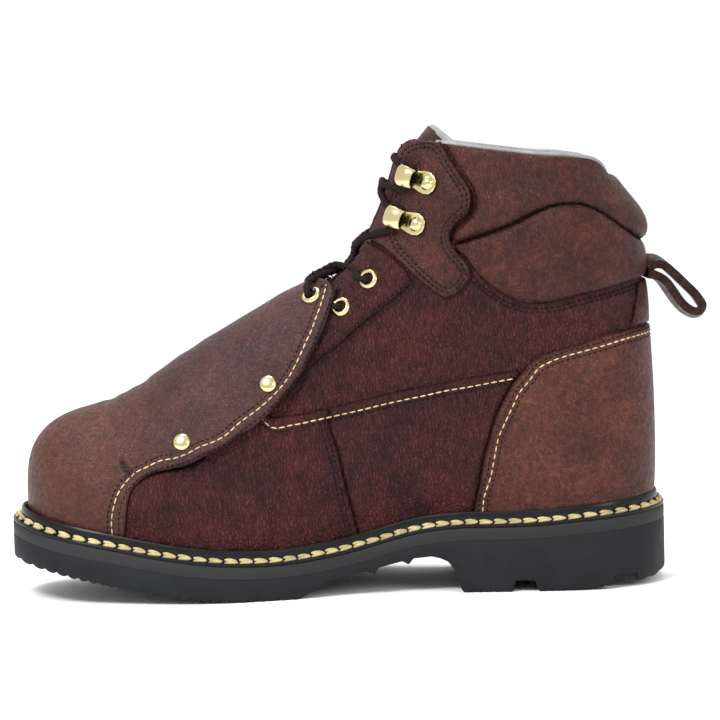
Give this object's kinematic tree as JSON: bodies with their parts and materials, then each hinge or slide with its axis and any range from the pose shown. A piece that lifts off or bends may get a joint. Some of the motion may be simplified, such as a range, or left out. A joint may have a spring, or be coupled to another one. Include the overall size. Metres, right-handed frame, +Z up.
{
  "type": "metatarsal guard boot",
  "caption": "Six inch brown leather work boot for the right foot with an outside metatarsal guard and a black lug sole.",
  "frame": {"origin": "on the floor under the middle of the boot's bounding box", "axes": "+Z up, +X from toe to heel, -Y the inner (medial) side"},
  "size_m": [0.333, 0.1202, 0.2206],
  "materials": {
    "sole_rubber": "matte charcoal black rubber",
    "midsole_rubber": "matte dark grey rubber",
    "welt_rubber": "glossy black storm welt with pale yellow stitching",
    "leather": "tumbled dark red-brown leather with a soft sheen",
    "toe_leather": "smoother and slightly lighter red-brown leather",
    "lining": "light grey brushed lining",
    "brass": "polished pale brass",
    "lace": "dark brown round braided lace"
  },
  "bodies": {
    "root": {"outsole": "sole_rubber", "midsole": "midsole_rubber", "welt": "welt_rubber", "insole": "lining", "upper": "leather", "tongue": "leather", "metatarsal_guard": "toe_leather", "vamp_medial": "leather", "vamp_lateral": "leather", "side_panel_medial": "leather", "side_panel_lateral": "leather", "heel_counter": "leather", "facing_medial": "leather", "facing_lateral": "leather", "eyestay_medial": "leather", "eyestay_lateral": "leather", "backstay": "leather", "collar_pad_lower": "leather", "collar_pad_upper": "leather", "pull_loop": "leather", "eyelet_low_medial": "brass", "eyelet_low_lateral": "brass", "eyelet_high_medial": "brass", "eyelet_high_lateral": "brass", "eyelet_guard_medial": "brass", "eyelet_guard_lateral": "brass", "guard_rivet_front_medial": "brass", "guard_rivet_front_lateral": "brass", "guard_rivet_rear_medial": "brass", "guard_rivet_rear_lateral": "brass", "hook_lower_medial": "brass", "hook_lower_lateral": "brass", "hook_upper_medial": "brass", "hook_upper_lateral": "brass", "lace_over_guard": "lace", "lace_over_instep": "lace", "lace_over_ankle": "lace", "lace_top": "lace"}
  },
  "joints": []
}
